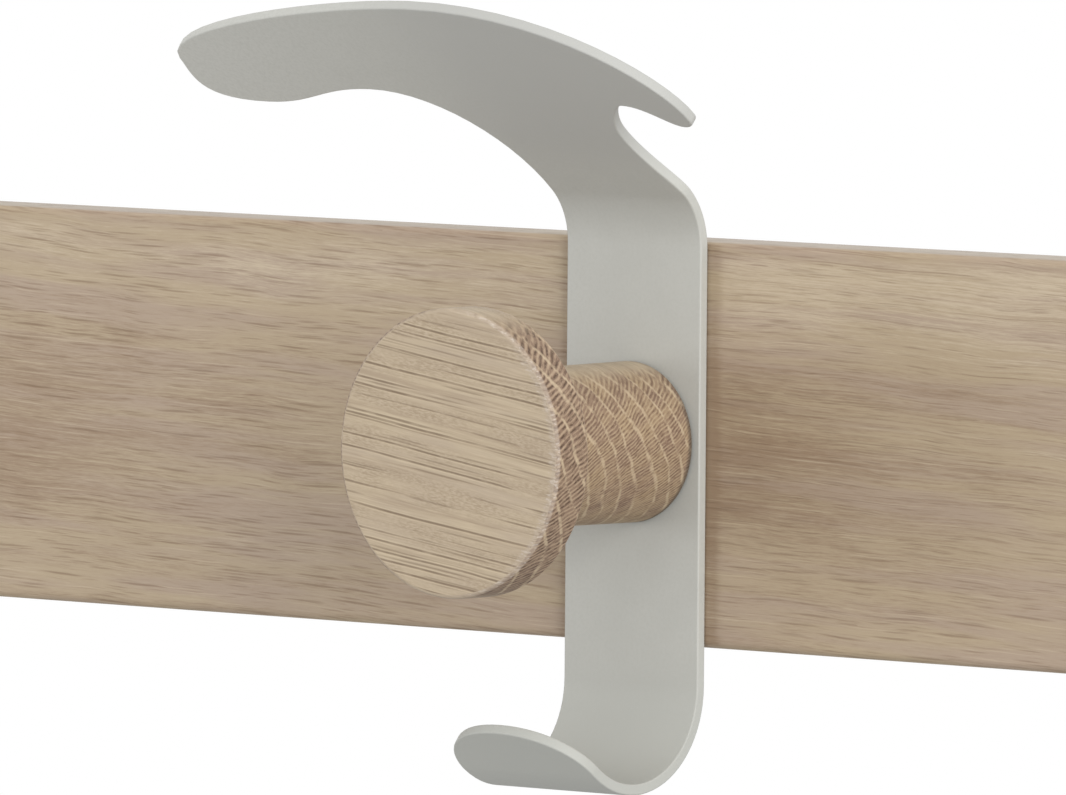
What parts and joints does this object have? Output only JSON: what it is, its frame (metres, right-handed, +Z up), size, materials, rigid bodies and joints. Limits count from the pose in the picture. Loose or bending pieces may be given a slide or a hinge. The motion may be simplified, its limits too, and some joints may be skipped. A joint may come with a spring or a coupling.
{
  "type": "coat rail hook",
  "caption": "Folded sheet-metal coat hook with a swept shoulder above and an upturned trough below, clamped to an oak wall rail by a turned oak knob",
  "frame": {"origin": "on the rail's wall face, midway along the rail, level with the two wall screws it hangs on", "axes": "+X along the rail, +Y into the wall, +Z up; the knob points along -Y"},
  "size_m": [0.42, 0.0797, 0.1745],
  "materials": {
    "oiled_oak": "oiled oak, straight grain with dark pores",
    "turned_oak": "turned oak, end grain with rays on the rim",
    "coated_steel": "warm light grey powder coat, fine texture",
    "zinc_plated_steel": "bright zinc plating",
    "brass": "plain machined brass"
  },
  "bodies": {
    "root": {"rail_board": "oiled_oak", "coat_hook": "coated_steel", "turned_knob": "turned_oak", "knob_insert": "brass", "clamp_screw": "zinc_plated_steel", "clamp_washer": "zinc_plated_steel", "locating_pin_upper": "zinc_plated_steel", "locating_pin_lower": "zinc_plated_steel", "keyhole_plate_left": "zinc_plated_steel", "keyhole_plate_right": "zinc_plated_steel", "plate_screw_left_upper": "zinc_plated_steel", "plate_screw_left_lower": "zinc_plated_steel", "plate_screw_right_upper": "zinc_plated_steel", "plate_screw_right_lower": "zinc_plated_steel"}
  },
  "joints": []
}
